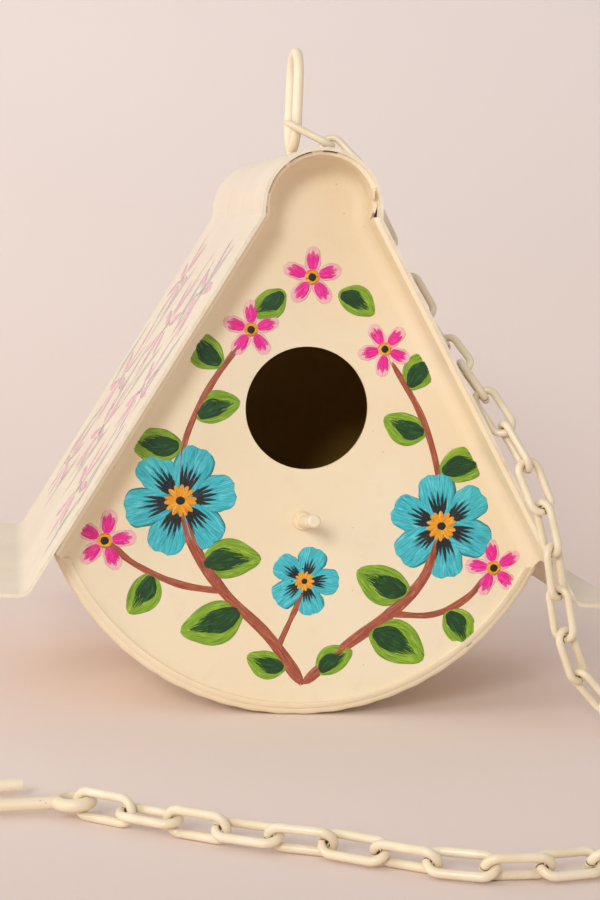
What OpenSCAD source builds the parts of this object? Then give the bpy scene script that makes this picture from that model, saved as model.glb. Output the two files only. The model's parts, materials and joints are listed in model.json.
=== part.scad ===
// Hanging birdhouse of bent sheet metal: one roof sheet over a front pan, a back pan and a curved
// bottom, with a perch, a hanging loop, and a chain that lies over the roof and ends in a hook.
// The origin is on the ground under the middle of the house; X is right, Y is back, Z is up.

/* [House] */
// Depth of the roof, front edge to rear edge
roof_depth = 200; // [180:1:220]
// Radius of the curved bottom
bottom_r = 110; // [106:1:114]
// Pitch of the roof slopes, from level
slope_deg = 60; // [58:0.5:62]
// Height of the neck bends, where the slopes meet the ridge
neck_z = 204; // [200:1:208]
// Outer radius of the round ridge
ridge_r = 24; // [20:0.5:27]
// Height of the upright sides below the round ridge
ridge_side = 3.3; // [1:0.1:6]
// Distance from the middle to the corner of the eave bend
eave_half = 111.5; // [108:0.5:116]
// Width of the level eave flange, from the corner of its bend
eave_flange = 19; // [12:0.5:24]
// Radius of the eave bend on its upper face
eave_bend_r = 5; // [3:0.5:8]
// Thickness of the roof sheet
roof_t = 1.4; // [1:0.1:2]

/* [Pans and bottom] */
// Setback of the front and back pans behind the roof edges
pan_setback = 22.5; // [18:0.5:27]
// Thickness of the pan sheets
pan_t = 1.2; // [0.8:0.1:1.6]
// Depth of the pan flange that lies under the roof sheet
pan_flange = 20; // [14:0.5:21]
// Inner radius of the bend between a pan and its flange
pan_bend_r = 6; // [4:0.5:8]
// Depth of the pan rim that is turned in over the bottom sheet
pan_rim = 11; // [8:0.5:16]
// Inner radius of the bend between a pan and its rim
rim_bend_r = 2.4; // [1.5:0.1:4]
// Thickness of the bottom sheet
bottom_t = 1.4; // [1:0.1:2]
// Gap between nested sheets
nest_gap = 0.4; // [0.3:0.05:0.6]

/* [Entrance and perch] */
// Diameter of the entrance hole
hole_d = 50; // [40:0.5:54]
// Height of the middle of the entrance hole
hole_z = 127; // [124:0.5:130]
// Diameter of the perch
perch_d = 5.2; // [4:0.1:7]
// Reach of the perch in front of the pan
perch_len = 22; // [16:0.5:32]
// Height of the perch where it leaves the pan
perch_z = 81; // [78:0.5:88]
// Upward tilt of the perch
perch_tilt = 8; // [0:1:12]
// Lean of the perch to the right
perch_swing = 6; // [0:1:10]
// Chamfer at the perch's end
perch_chamfer = 0.6; // [0.2:0.1:1]
// Diameter of the shoulder that seats the perch on the pan
perch_collar_d = 8; // [7.4:0.1:9.4]
// Diameter of the perch's tail behind the pan
perch_tail_d = 4; // [3:0.1:4.5]
// Diameter of the push-on washer that holds the tail
washer_d = 11; // [9:0.5:14]
// Thickness of the push-on washer
washer_t = 1; // [0.6:0.1:1.5]

/* [Hanging loop] */
// Diameter of the loop's rod
loop_d = 4.4; // [4:0.1:5]
// Height of the loop above the ridge
loop_h = 46.5; // [40:0.5:50]
// Outer width of the loop
loop_w = 29; // [26:0.5:32]
// Diameter of the loop's nut, across its corners
nut_d = 10; // [9:0.5:12]
// Thickness of the loop's nut
nut_t = 4; // [3:0.5:5]
// Diameter of the plate that backs the ridge under the loop
loop_plate_d = 15; // [13:0.5:20]
// Radial clearance of a rod in its hole
rod_clear = 0.05; // [0.02:0.01:0.1]
// Gap between pieces that rest on each other
seat_gap = 0.05; // [0.02:0.01:0.2]

/* [Chain and hook] */
// Number of links
link_count = 42; // [40:1:42]
// Outer length of a link
link_len = 24.4; // [24:0.1:24.8]
// Outer width of a link
link_w = 11.6; // [11.4:0.1:12.2]
// Diameter of the link wire
wire_d = 3.1; // [2.8:0.1:3.2]
// Play between two links
link_play = 0.5; // [0.3:0.05:0.6]
// Width of the joint in a link's end
link_seam = 0.25; // [0.1:0.05:0.4]
// Diameter of the hook's rod
hook_d = 4.4; // [4:0.1:4.6]
// Radius of the hook's eye along the middle of the rod
eye_r = 5.4; // [5.2:0.1:6]
// Length of the hook's shank
hook_shank = 38; // [30:1:46]
// Radius of the hook's bend along the middle of the rod
hook_r = 12.5; // [12:0.5:18]
// Length of the straight tip of the hook
hook_tip = 26.5; // [16:0.5:28]

/* [Hidden] */
$fn = 96;

cream = "#f2e3c6";
ridge_z = neck_z + ridge_side;
ridge_top = ridge_z + ridge_r;
front_y = -roof_depth / 2;
pan_y = front_y + pan_setback;
// The outer face of the right slope runs from the neck down to the eave corner.
eave_z = neck_z - (eave_half - ridge_r) * tan(slope_deg);
bend_run = eave_bend_r * tan(slope_deg / 2);
// Each skin's distance from the outer face of the roof or of the bottom
flange_inset = roof_t + nest_gap;
plate_inset = flange_inset + pan_t + pan_bend_r;
rim_out_r = bottom_r - bottom_t - nest_gap;
plate_r = rim_out_r - pan_t - rim_bend_r;
// A bend laps the flats beside it, and its faces lie this much proud of theirs
bend_lap = 0.2;
bend_proud = 0.02;
// Radius of the pan flange round the outside of a neck, its middle, and how far it laps the flat
neck_round = 5;
neck_mid = [
    ridge_r - flange_inset + neck_round,
    neck_z + (flange_inset - neck_round) * (tan(slope_deg) - 1 / cos(slope_deg))
];
neck_strip = 1.5;
// Radius of the flat left at a pan's lower corners, and how far flats lie below the sheet's faces
corner_flat = 13;
flat_step = 0.15;
// Length of flange and of rim left out at a lower corner
corner_relief = 5;
// Distance from the middle of the bottom's circle to the outer face of a slope
slope_reach = ridge_r * sin(slope_deg) + (neck_z - bottom_r) * cos(slope_deg);
// Lower corner of a pan, where its flange and its rim would meet
corner_turn = acos((slope_reach - flange_inset) / rim_out_r);
pan_corner = [
    rim_out_r * cos(90 - slope_deg - corner_turn),
    bottom_r + rim_out_r * sin(90 - slope_deg - corner_turn)
];
// The front pan's flange is cut back at the right neck, by this depth and up to this height
cut_back = 6;
cut_high = 12.5;
perch_bore = perch_tail_d + 2 * rod_clear;
perch_collar_t = perch_d / 2 + 0.2;
perch_root = 1;
collar_step = 0.7;
loop_bore = loop_d + 2 * rod_clear;
link_pitch = link_len - 2 * wire_d - link_play;
loop_bow_r = (loop_w - loop_d) / 2;
loop_low_z = ridge_top + loop_d / 2 + loop_bow_r + 0.6;
loop_high_z = ridge_top + loop_h - loop_d / 2 - loop_bow_r;
loop_plate_t = 1.5;
nut_z = ridge_top - roof_t - loop_plate_t - 2 * seat_gap - nut_t;

// Where the first link goes round the loop, measured from the middle of the loop's lower bow
start_drop = 3.5;
start_z = loop_low_z - start_drop;
start_y = -sqrt(loop_bow_r * loop_bow_r - start_drop * start_drop);
// From the middle of the loop's rod to the far end of the first link's pitch
lead_in = link_pitch - 2.4;
// Height of the middle of the chain over the roof and over the ground
roof_lift = 6;
// The links lie on the ground leaning over by this much, and the last one stands on its edge.
chain_lean = 36;
ground_lift = (link_w - wire_d) / 2 * cos(chain_lean) + wire_d / 2 + 0.06;
upright_lift = link_w / 2 + 0.05;

// Places on the right slope: down is the way from the neck, across is the y
function on_slope(down, across) = [
    ridge_r + roof_lift * sin(slope_deg) + down * cos(slope_deg),
    across,
    neck_z + roof_lift * cos(slope_deg) - down * sin(slope_deg)
];
// Places round the ridge, at an angle from its top
function on_ridge(turn, across) = [
    (ridge_r + roof_lift) * sin(turn),
    across,
    ridge_z + (ridge_r + roof_lift) * cos(turn)
];
// The chain's route, chosen by hand: over the ridge, down the slope, off the eave, out and back
route = [
    [0, start_y, start_z],
    on_ridge(26, -14.5) + [0, 0, 2.8],
    on_ridge(56, -20) + [0.5, 0, 0.5],
    on_ridge(86, -26) + [1, 0, 0],
    on_slope(14, -31) + [1.5, 0, 0],
    on_slope(31, -37) + [1.5, 0, 0],
    on_slope(48, -47) + [0.5, 0, 0],
    on_slope(62, -61),
    on_slope(74, -77),
    on_slope(87, -91),
    on_slope(102, -100),
    on_slope(117, -105),
    [90.5, -107.5, 98],
    [95, -109, 85],
    [99, -109, 65],
    [103, -108, 45],
    [107.5, -108, 30],
    [115, -108.5, 17.5],
    [126, -109.5, 9.5],
    [141, -113, ground_lift],
    [153, -119, ground_lift],
    [166, -134, ground_lift],
    [172, -152, ground_lift],
    [173, -174, ground_lift],
    [168, -198, ground_lift],
    [158, -222, ground_lift],
    [143, -245, ground_lift],
    [122, -264, ground_lift],
    [98, -281, ground_lift],
    [75, -293, ground_lift],
    [54, -300, ground_lift],
    [35, -303, ground_lift],
    [18, -299, ground_lift],
    [2, -289, ground_lift],
    [-14, -278, ground_lift + 0.2],
    [-34, -271, ground_lift + 0.6],
    [-54, -261, upright_lift],
    [-71, -249, upright_lift],
    [-86, -238, upright_lift]
];

// Share of the way from a to b at which the distance from p is the pitch
function reach_share(p, a, b, pitch) =
    let (ab = b - a, pa = a - p, k = ab * ab, m = ab * pa)
    (-m + sqrt(m * m - k * (pa * pa - pitch * pitch))) / k;
// The next stretch of the route whose end is at least a pitch away from p
function stretch_for(p, from, pitch) =
    from >= len(route) - 2 || norm(route[from + 1] - p) >= pitch ? from : stretch_for(p, from + 1, pitch);
// Steps along the route, each one pitch long, as [place, stretch]
function walk(count, p, from, pitch) =
    count == 0 ? [] :
    let (
        at = stretch_for(p, from, pitch),
        share = reach_share(p, route[at], route[at + 1], pitch),
        next = route[at] + share * (route[at + 1] - route[at])
    )
    concat([next], walk(count - 1, next, at, link_pitch));
// Where each link ends and the next begins
steps = concat([route[0]], walk(link_count, route[0], 0, lead_in));

function heading(v) = atan2(v[1], v[0]);
function dip(v) = asin(v[2] / norm(v));
// Links are turned by turns a quarter round their length; their common lean starts flat in the
// loop, ends flat in the hook, and swings over where the chain turns down the slope.
lean_at = [
    [0, 0], [1, -14], [2, -38], [5, -34], [7, -46], [9, -46], [12, -38],
    [16, -chain_lean], [link_count - 6, -chain_lean], [link_count - 1, 0]
];
function link_roll(i) = lookup(i, lean_at) + 90 * (i % 2);

function link_way(i) = (steps[i + 1] - steps[i]) / norm(steps[i + 1] - steps[i]);
function link_mid(i) = steps[i + 1] - link_way(i) * link_pitch / 2;

two_digits = [for (i = [1 : link_count]) str(i < 10 ? "0" : "", i)];
link_names = [for (d = two_digits) str("chain_link_", d)];

// Stands a flat shape up across the house and gives it a depth, centred on the middle
module across_house(depth) {
    translate([0, depth / 2, 0])
        rotate([90, 0, 0])
            linear_extrude(depth) children();
}

module both_sides() {
    children();
    mirror([1, 0, 0]) children();
}

// One side of the roof, from the ridge down to the eave flange
module roof_side() {
    neck_in = roof_t * (1 / cos(slope_deg) - tan(slope_deg));
    slope_run = bend_run - bend_lap;
    slope_end = [eave_half - slope_run * cos(slope_deg), eave_z + slope_run * sin(slope_deg)];
    inward = [-sin(slope_deg), -cos(slope_deg)];
    across_house(roof_depth)
        polygon([
            [ridge_r, ridge_z],
            [ridge_r, neck_z],
            slope_end,
            slope_end + inward * roof_t,
            [ridge_r - roof_t, neck_z - neck_in],
            [ridge_r - roof_t, ridge_z]
        ]);
    translate([eave_half + bend_run, 0, eave_z + eave_bend_r])
        across_house(roof_depth)
            intersection() {
                difference() {
                    circle(eave_bend_r + roof_t + bend_proud);
                    circle(eave_bend_r - bend_proud);
                }
                polygon([[0, 0], inward * 3 * eave_bend_r, [0, -5 * eave_bend_r]]);
            }
    translate([eave_half + bend_run - bend_lap, 0, eave_z - roof_t])
        across_house(roof_depth) square([eave_flange - bend_run + bend_lap, roof_t]);
}

module roof_sheet() {
    color(cream)
        difference() {
            union() {
                both_sides() roof_side();
                translate([0, 0, ridge_z])
                    across_house(roof_depth)
                        intersection() {
                            difference() {
                                circle(ridge_r);
                                circle(ridge_r - roof_t);
                            }
                            translate([-ridge_r, 0]) square([2 * ridge_r, ridge_r]);
                        }
            }
            translate([0, 0, ridge_z]) cylinder(h = ridge_r + 1, d = loop_bore);
        }
}

// The space inside the roof, inset from its outer face and cut round at the bottom
module inside_outline(inset, round_r) {
    half = ridge_r - inset;
    neck = neck_z + inset * (tan(slope_deg) - 1 / cos(slope_deg));
    foot = half + neck / tan(slope_deg);
    difference() {
        union() {
            polygon([[-half, ridge_z], [half, ridge_z], [half, neck], [foot, 0], [-foot, 0], [-half, neck]]);
            intersection() {
                translate([0, ridge_z]) circle(half);
                translate([-half, ridge_z]) square([2 * half, ridge_r]);
            }
        }
        difference() {
            translate([-2 * bottom_r, -1]) square([4 * bottom_r, bottom_r + 1]);
            translate([0, bottom_r]) circle(round_r);
        }
    }
}

// Section of a sheet that is bent through a quarter turn: the sheet's face is on the x axis
module quarter_bend(inner_r, sheet) {
    translate([sheet + inner_r, inner_r])
        intersection() {
            difference() {
                circle(inner_r + sheet);
                circle(inner_r);
            }
            translate([-inner_r - sheet, -inner_r - sheet]) square(inner_r + sheet);
        }
}

module flange_section(inner_r, sheet, depth) {
    quarter_bend(inner_r, sheet);
    translate([0, inner_r]) square([sheet, depth - inner_r]);
}

module slope_flange() {
    length = (neck_mid[1] - neck_round * cos(slope_deg) - pan_corner[1]) / sin(slope_deg);
    translate([pan_corner[0], pan_y, pan_corner[1]])
        rotate([180, 90 + slope_deg, 0])
            translate([0, 0, corner_relief])
                linear_extrude(length - corner_relief) flange_section(pan_bend_r, pan_t, pan_flange);
}

// The flange of the right neck turns round from the ridge's side to the slope; it laps both.
module neck_flange() {
    sheet = pan_t + 2 * bend_proud;
    inner_r = pan_bend_r - bend_proud;
    from = 180 - asin(bend_lap / neck_round);
    to = 270 - slope_deg + asin(bend_lap / neck_round);
    translate([neck_mid[0], pan_y, neck_mid[1]])
        rotate([90, 0, 0])
            intersection() {
                rotate_extrude()
                    translate([neck_round - bend_proud, bend_proud]) {
                        flange_section(inner_r, sheet, pan_flange);
                        translate([sheet + inner_r, -sheet]) square([neck_strip, sheet]);
                    }
                translate([0, 0, -2 * pan_t])
                    linear_extrude(pan_flange + 3 * pan_t)
                        polygon([
                            [0, 0],
                            2 * ridge_r * [cos(from), sin(from)],
                            2 * ridge_r * [cos(to), sin(to)]
                        ]);
            }
}

// Round the ridge, and straight down each side to the neck
module ridge_flange() {
    translate([0, pan_y, ridge_z])
        rotate([90, 0, 0])
            difference() {
                rotate_extrude()
                    translate([ridge_r - flange_inset, 0])
                        mirror([1, 0]) flange_section(pan_bend_r, pan_t, pan_flange);
                translate([-ridge_r, -2 * ridge_r, -ridge_r]) cube([2 * ridge_r, 2 * ridge_r, 3 * ridge_r]);
            }
    both_sides()
        translate([ridge_r - flange_inset, pan_y, neck_mid[1]])
            rotate([0, 0, 180])
                linear_extrude(ridge_z - neck_mid[1]) flange_section(pan_bend_r, pan_t, pan_flange);
}

// The rim that is turned in along the round bottom edge
module round_rim() {
    rim_top = pan_corner[1] - corner_relief - bottom_r;
    translate([0, pan_y + pan_t, bottom_r])
        rotate([90, 0, 0])
            difference() {
                rotate_extrude()
                    translate([rim_out_r, pan_t])
                        rotate(180) flange_section(rim_bend_r, pan_t, pan_rim);
                translate([-bottom_r, rim_top, -pan_rim])
                    cube([2 * bottom_r, 2 * bottom_r, 2 * pan_rim]);
            }
}

// At the lower corners the flange is cut away and the sheet runs flat to the roof.
module pan_flats() {
    intersection() {
        inside_outline(flange_inset + flat_step, rim_out_r - flat_step);
        both_sides() translate(pan_corner) circle(corner_flat);
    }
}

module pan() {
    translate([0, pan_y + pan_t - bend_proud, 0])
        rotate([90, 0, 0])
            linear_extrude(pan_t - 2 * bend_proud)
                inside_outline(plate_inset - bend_lap, plate_r + bend_lap);
    translate([0, pan_y + pan_t - flat_step, 0])
        rotate([90, 0, 0])
            linear_extrude(pan_t - 2 * flat_step) pan_flats();
    ridge_flange();
    both_sides() {
        neck_flange();
        slope_flange();
    }
    round_rim();
}

// The flange's front edge is cut back above the right neck, with a small pointed tear at its foot.
module right_neck_cut() {
    front = pan_y - pan_flange;
    translate([ridge_r - flange_inset - pan_t - 0.5, 0, neck_z])
        rotate([90, 0, 90])
            linear_extrude(pan_t + 2)
                polygon([
                    [front - 1, 0.8],
                    [front + cut_back - 1, 0.8],
                    [front + 2 * cut_back, -0.5],
                    [front + cut_back, 2.6],
                    [front + cut_back - 0.4, cut_high - 4],
                    [front - 1, cut_high]
                ]);
}

module front_pan() {
    color(cream)
        difference() {
            pan();
            translate([0, pan_y - 1, hole_z]) rotate([-90, 0, 0]) cylinder(h = pan_t + 2, d = hole_d);
            translate([0, pan_y - 1, perch_z]) rotate([-90, 0, 0]) cylinder(h = pan_t + 2, d = perch_bore);
            right_neck_cut();
        }
}

module back_pan() {
    color(cream) mirror([0, 1, 0]) pan();
}

module bottom_sheet() {
    edge_turn = acos((slope_reach - roof_t - 0.3) / bottom_r);
    start = 90 - slope_deg - edge_turn;
    length = 2 * (-pan_y - pan_t - rim_bend_r);
    color(cream)
        translate([0, length / 2, bottom_r])
            rotate([90, 0, 0])
                rotate([0, 0, -180 - start])
                    rotate_extrude(angle = 180 + 2 * start)
                        translate([bottom_r - bottom_t, 0]) square([bottom_t, length]);
}

module perch() {
    tail = pan_t + washer_t + 2 * seat_gap + 2;
    straight = perch_len - perch_collar_t;
    foot_d = perch_d + 2 * collar_step;
    color(cream)
        translate([0, pan_y - seat_gap, perch_z])
            rotate([90, 0, 0]) {
                translate([0, 0, perch_collar_t])
                    rotate([-perch_tilt, perch_swing, 0])
                        rotate_extrude() polygon([
                            [0, -perch_root], [perch_d / 2, -perch_root],
                            [perch_d / 2, straight - perch_chamfer],
                            [perch_d / 2 - perch_chamfer, straight], [0, straight]
                        ]);
                cylinder(h = perch_collar_t, d1 = perch_collar_d, d2 = foot_d);
                translate([0, 0, -tail]) cylinder(h = tail, d = perch_tail_d);
            }
}

module perch_washer() {
    color("silver")
        translate([0, pan_y + pan_t + seat_gap, perch_z])
            rotate([-90, 0, 0])
                difference() {
                    cylinder(h = washer_t, d = washer_d);
                    translate([0, 0, -1]) cylinder(h = washer_t + 2, d = perch_bore);
                }
}

// Half a ring of rod that opens downwards, in the upright plane along the house
module bow(bow_r, rod_d) {
    rotate([90, 0, 90])
        rotate_extrude(angle = 180) translate([bow_r, 0]) circle(d = rod_d);
}

module hanging_loop() {
    side = loop_high_z - loop_low_z;
    shank = loop_low_z - loop_bow_r - nut_z + 1.5;
    color(cream) {
        translate([0, 0, loop_high_z]) bow(loop_bow_r, loop_d);
        translate([0, 0, loop_low_z]) mirror([0, 0, 1]) bow(loop_bow_r, loop_d);
        for (y = [-loop_bow_r, loop_bow_r])
            translate([0, y, loop_low_z]) cylinder(h = side, d = loop_d);
        translate([0, 0, nut_z - 1.5]) cylinder(h = shank, d = loop_d);
    }
}

module loop_plate() {
    color("silver")
        translate([0, 0, ridge_top - roof_t - seat_gap - loop_plate_t])
            difference() {
                cylinder(h = loop_plate_t, d = loop_plate_d);
                translate([0, 0, -1]) cylinder(h = loop_plate_t + 2, d = loop_bore);
                // The plate's upper face is dished to sit under the round ridge.
                difference() {
                    translate([-loop_plate_d, -loop_plate_d, 0]) cube(2 * loop_plate_d);
                    translate([0, loop_plate_d, seat_gap + loop_plate_t + roof_t - ridge_r])
                        rotate([90, 0, 0])
                            cylinder(h = 2 * loop_plate_d, r = ridge_r - roof_t - seat_gap);
                }
            }
}

module loop_nut() {
    color("silver")
        translate([0, 0, nut_z])
            difference() {
                cylinder(h = nut_t, d = nut_d, $fn = 6);
                translate([0, 0, -1]) cylinder(h = nut_t + 2, d = loop_bore);
            }
}

// A link along X, flat in XY, with the joint of its wire in the far end
module link() {
    bow_r = (link_w - wire_d) / 2;
    bow_x = link_len / 2 - link_w / 2;
    difference() {
        union() {
            for (end = [0, 180])
                rotate([0, 0, end])
                    translate([bow_x, 0, 0])
                        rotate([0, 0, -90]) rotate_extrude(angle = 180) translate([bow_r, 0]) circle(d = wire_d);
            for (y = [-bow_r, bow_r])
                translate([-bow_x, y, 0]) rotate([0, 90, 0]) cylinder(h = 2 * bow_x, d = wire_d);
        }
        translate([bow_x, -link_seam / 2, -wire_d])
            cube([link_w, link_seam, 2 * wire_d]);
    }
}

module chain_link(i) {
    way = link_way(i);
    color(cream)
        translate(link_mid(i))
            rotate([link_roll(i), -dip(way), heading(way)])
                link();
}

// The hook lies on the ground with its eye held up by the last link.
module chain_hook() {
    way = link_way(link_count - 1);
    eye_at = link_mid(link_count - 1)
        + way * (link_len / 2 - wire_d - hook_d / 2 - link_play + eye_r);
    reach = eye_r + hook_shank + hook_r;
    tilt = asin((eye_at[2] - hook_d / 2 - 0.05) / reach);
    color(cream)
        translate(eye_at)
            rotate([0, tilt, 180])
                mirror([0, 1, 0]) {
                    rotate_extrude() translate([eye_r, 0]) circle(d = hook_d);
                    translate([eye_r, 0, 0]) rotate([0, 90, 0]) cylinder(h = hook_shank, d = hook_d);
                    translate([eye_r + hook_shank, hook_r, 0])
                        rotate([0, 0, -90])
                            rotate_extrude(angle = 180) translate([hook_r, 0]) circle(d = hook_d);
                    translate([eye_r + hook_shank - hook_tip, 2 * hook_r, 0])
                        rotate([0, 90, 0]) cylinder(h = hook_tip, d = hook_d);
                }
}

roof_sheet();
front_pan();
back_pan();
bottom_sheet();
perch();
perch_washer();
hanging_loop();
loop_plate();
loop_nut();
chain_hook();
for (i = [0 : link_count - 1])
    chain_link(i);
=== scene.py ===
"""A hanging birdhouse of enamelled sheet steel with painted flowers, and its link chain."""

import json
import math
import random

import bmesh
import bpy
import numpy as np
from mathutils import Matrix, Vector

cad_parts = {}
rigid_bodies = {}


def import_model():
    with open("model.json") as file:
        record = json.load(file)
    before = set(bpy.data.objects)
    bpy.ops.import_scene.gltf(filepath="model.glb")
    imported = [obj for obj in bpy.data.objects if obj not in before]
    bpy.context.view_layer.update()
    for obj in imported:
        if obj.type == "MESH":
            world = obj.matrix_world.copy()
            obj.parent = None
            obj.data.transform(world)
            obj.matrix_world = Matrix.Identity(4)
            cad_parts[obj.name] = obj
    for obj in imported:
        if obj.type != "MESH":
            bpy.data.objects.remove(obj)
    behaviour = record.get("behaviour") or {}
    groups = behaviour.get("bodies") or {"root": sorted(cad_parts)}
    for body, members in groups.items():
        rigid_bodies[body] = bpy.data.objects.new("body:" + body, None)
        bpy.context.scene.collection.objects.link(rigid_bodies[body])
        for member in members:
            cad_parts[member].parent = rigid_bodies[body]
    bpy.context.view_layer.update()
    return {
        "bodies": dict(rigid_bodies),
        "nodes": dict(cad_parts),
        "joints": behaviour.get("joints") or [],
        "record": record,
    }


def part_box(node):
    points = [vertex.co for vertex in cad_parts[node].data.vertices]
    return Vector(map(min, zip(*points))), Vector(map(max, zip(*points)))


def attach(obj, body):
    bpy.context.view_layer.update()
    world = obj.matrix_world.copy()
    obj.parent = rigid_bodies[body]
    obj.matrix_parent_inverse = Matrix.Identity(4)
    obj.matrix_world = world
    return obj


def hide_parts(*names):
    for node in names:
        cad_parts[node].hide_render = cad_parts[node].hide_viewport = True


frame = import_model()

nodes = frame["nodes"]
entrance = next(m for m in frame["record"]["mounts"] if m["name"] == "entrance_hole")
draw = random.Random(7)

MM = 0.001

# The house, in metres: its entrance, the front faces, and the roof's slopes
HOLE = Vector(entrance["pos_m"])
HOLE_R = entrance["dims"]["r_mm"] * MM
PAN_FRONT = HOLE.y - entrance["dims"]["length_mm"] * MM / 2
ROOF_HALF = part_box("roof_sheet")[1].y
EAVE_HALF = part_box("roof_sheet")[1].x
FLANGE_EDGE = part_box("front_pan")[0].y
SLOPE = math.radians(60)
NECK_X = 0.024
NECK_Z = 0.204
BOTTOM_R = 0.110

# The chain's wire and links, in metres
WIRE = 0.0031
LINK_LEN = 0.0244
LINK_WIDE = 0.0116


# ---------------------------------------------------------------- materials

class Field:
    """A value that varies over a surface, for plain arithmetic."""

    def __init__(self, paint, socket):
        self.paint = paint
        self.socket = socket

    def math(self, operation, *values):
        inputs = dict(enumerate((self,) + values))
        return self.paint.node("ShaderNodeMath", {"operation": operation}, inputs)

    def __add__(self, other):
        return self.math("ADD", other)

    __radd__ = __add__

    def __mul__(self, other):
        return self.math("MULTIPLY", other)

    __rmul__ = __mul__

    def __sub__(self, other):
        return self.math("SUBTRACT", other)

    def __rsub__(self, other):
        return self.math("MULTIPLY", -1).math("ADD", other)

    def __abs__(self):
        return self.math("ABSOLUTE")

    def most(self, other):
        return self.math("MAXIMUM", other)

    def step(self, low, high):
        """0 at low and 1 at high, whichever is the larger, with a smooth change between."""
        if low > high:
            return 1 - self.step(high, low)
        settings = {"interpolation_type": "SMOOTHSTEP"}
        inputs = {"Value": self, "From Min": low, "From Max": high}
        return self.paint.node("ShaderNodeMapRange", settings, inputs)

    def between(self, start, full, fade, end):
        """1 between two places, with a soft start and a soft end."""
        return self.step(start, full) * self.step(end, fade)


class Paint:
    """One material, with one method that adds any node."""

    def __init__(self, name):
        self.material = bpy.data.materials.new(name)
        self.material.use_nodes = True
        self.tree = self.material.node_tree
        self.tree.nodes.clear()

    def node(self, kind, settings=None, inputs=None, out=0):
        made = self.tree.nodes.new(kind)
        for key, value in (settings or {}).items():
            setattr(made, key, value)
        for key, value in (inputs or {}).items():
            if isinstance(value, Field):
                self.tree.links.new(value.socket, made.inputs[key])
            else:
                made.inputs[key].default_value = value
        return Field(self, made.outputs[out]) if made.outputs else None

    def place(self):
        return self.node("ShaderNodeTexCoord", out="Object")

    def facing(self):
        """Which way the surface looks, in three parts."""
        return self.parts(self.node("ShaderNodeTexCoord", out="Normal"))

    def parts(self, vector):
        split = self.node("ShaderNodeSeparateXYZ", None, {0: vector})
        return [Field(self, s) for s in split.socket.node.outputs]

    def join(self, x, y, z):
        return self.node("ShaderNodeCombineXYZ", None, {0: x, 1: y, 2: z})

    def attribute(self, name):
        return self.node("ShaderNodeAttribute", {"attribute_name": name}, out="Fac")

    def noise(self, where, scale, detail=2.0, rough=0.5):
        inputs = {"Vector": where, "Scale": scale, "Detail": detail, "Roughness": rough}
        return self.node("ShaderNodeTexNoise", None, inputs)

    def specks(self, where, scale, size):
        """1 inside small scattered dots."""
        cell = self.node("ShaderNodeTexVoronoi", None, {"Vector": where, "Scale": scale})
        keep = self.noise(where, scale / 5, 1).step(0.56, 0.62)
        return cell.step(size, size * 0.6) * keep

    def mix(self, share, a, b):
        inputs = {0: share, 6: a, 7: b}
        return self.node("ShaderNodeMix", {"data_type": "RGBA"}, inputs, out=2)

    def finish(self, colour, height=None, depth=0.0002, strength=0.4, **sockets):
        """The surface: numbers go straight onto the shader's own sockets."""
        inputs = {"Base Color": colour}
        for key, value in sockets.items():
            inputs[key.replace("_", " ").title().replace("Ior", "IOR")] = value
        if height is not None:
            bumps = {"Height": height, "Distance": depth, "Strength": strength}
            inputs["Normal"] = self.node("ShaderNodeBump", None, bumps)
        shader = self.node("ShaderNodeBsdfPrincipled", None, inputs)
        self.node("ShaderNodeOutputMaterial", None, {"Surface": shader})
        return self.material


def tone(red, green, blue):
    """A colour given as it looks on a screen, 0 to 255."""
    linear = []
    for part in (red, green, blue):
        share = part / 255
        linear.append(share / 12.92 if share < 0.04045 else ((share + 0.055) / 1.055) ** 2.4)
    return (*linear, 1.0)


CREAM = tone(243, 225, 191)
CREAM_DEEP = tone(232, 210, 170)
CREAM_PALE = tone(247, 236, 212)
# The roof's cream: a paler, cooler tint of its own, set darker than the pans' cream as painted
# shade to dim the roof, which the lamps light more
ROOF_CREAM_SHADED = tone(233, 220, 197)
CHAIN_CREAM = tone(233, 217, 186)
BARE_STEEL = tone(122, 108, 90)
PRIMER = tone(206, 160, 34)
STAIN = tone(150, 112, 70)
# Near-black for painted shade, where only the dark inside of the house would show
TEAR_PAINTED_SHADE = tone(16, 12, 9)


def enamel(name, edge_of=None, inside_of=None, cream=CREAM, painted_shade_of=None):
    """Sprayed cream enamel: faint clouds, dust, thin worn edges, a dark unpainted inside, and
    near-black painted shade where asked.
    """
    paint = Paint(name)
    where = paint.place()
    x, y, z = paint.parts(where)
    clouds = paint.noise(where, 14, 3)
    fine = paint.noise(where, 90, 3, 0.6)
    peel = paint.noise(where, 520, 2)
    dust = paint.specks(where, 170, 0.07)
    colour = paint.mix(clouds.step(0.38, 0.7) * 0.5, cream, CREAM_PALE)
    colour = paint.mix(fine.step(0.52, 0.78) * 0.3, colour, CREAM_DEEP)
    colour = paint.mix(dust * 0.35, colour, STAIN)
    rough = 0.36 + fine * 0.12
    height = peel * 0.5 + clouds * 0.6 - dust * 0.3
    metal = 0.0
    if edge_of:
        edge = edge_of(paint, x, y, z)
        thin = edge * paint.noise(where, 160, 2).step(0.4, 0.7)
        colour = paint.mix(thin * 0.16, colour, STAIN)
        chips = edge * paint.noise(where, 330, 3, 0.7).step(0.74, 0.79)
        colour = paint.mix(chips, colour, BARE_STEEL)
        rough = rough + chips * 0.2
        height = height - chips * 0.8
        metal = chips * 0.6
    if inside_of:
        inner = inside_of(paint, x, y, z)
        streaks = paint.noise(where, 60, 3)
        colour = paint.mix(inner * (0.8 + streaks * 0.2), colour, PRIMER)
        rough = rough + inner * 0.25
    # Painted shade: near-black where only the dark inside would show
    if painted_shade_of:
        colour = paint.mix(painted_shade_of(paint, x, y, z), colour, TEAR_PAINTED_SHADE)
    return paint.finish(colour, height, 0.00025, 0.28, roughness=rough, metallic=metal,
                        coat_weight=0.12, coat_roughness=0.3)
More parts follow.
